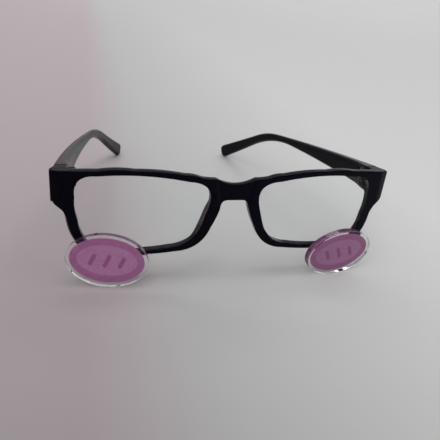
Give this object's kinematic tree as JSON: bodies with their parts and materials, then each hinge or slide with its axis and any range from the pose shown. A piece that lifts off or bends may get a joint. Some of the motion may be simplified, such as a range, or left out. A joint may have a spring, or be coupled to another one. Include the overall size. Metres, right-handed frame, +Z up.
{
  "type": "novelty eyeglasses",
  "caption": "Black full-rim plastic eyeglasses with clear lenses, two folding temples and a clear charm with a pink blush print glued over each lower outer rim.",
  "frame": {"origin": "below the middle of the pair as it stands, on the plane that it stands on", "axes": "+X to the wearer's left, +Y back towards the temple tips, +Z up; the pair stands on its charms and temple tips with open temples"},
  "size_m": [0.1422, 0.1611, 0.049],
  "materials": {
    "black_acetate": "polished black plastic",
    "clear_lens": "clear plastic lens with smooth faces",
    "hinge_steel": "dark satin steel",
    "screw_steel": "dark turned steel",
    "clear_acrylic": "clear acrylic with polished edges",
    "print_pink": "translucent dusty pink printed film",
    "print_ring": "translucent deeper pink printed film",
    "print_strokes": "translucent mauve printed film",
    "clear_glue": "clear hardened glue"
  },
  "bodies": {
    "front": {"front_frame": "black_acetate", "lens_left": "clear_lens", "lens_right": "clear_lens", "hinge_front_left": "hinge_steel", "hinge_front_right": "hinge_steel", "hinge_screw_left": "screw_steel", "hinge_screw_right": "screw_steel", "charm_back_left": "clear_acrylic", "charm_back_right": "clear_acrylic", "charm_cover_left": "clear_acrylic", "charm_cover_right": "clear_acrylic", "blush_base_left": "print_pink", "blush_base_right": "print_pink", "blush_ring_left": "print_ring", "blush_ring_right": "print_ring", "blush_strokes_left": "print_strokes", "blush_strokes_right": "print_strokes", "adhesive_left": "clear_glue", "adhesive_right": "clear_glue"},
    "left_temple": {"temple_left": "black_acetate", "hinge_temple_left": "hinge_steel"},
    "right_temple": {"temple_right": "black_acetate", "hinge_temple_right": "hinge_steel"}
  },
  "joints": [
    {"name": "left_fold", "type": "hinge", "parent": "front", "child": "left_temple", "pos_m": [0.06285, -0.06065, 0.04125], "axis": [0, 0.0599, 0.9982], "range_deg": [0, 81]},
    {"name": "right_fold", "type": "hinge", "parent": "front", "child": "right_temple", "pos_m": [-0.06285, -0.06065, 0.04125], "axis": [0, -0.0599, -0.9982], "range_deg": [0, 73]}
  ]
}
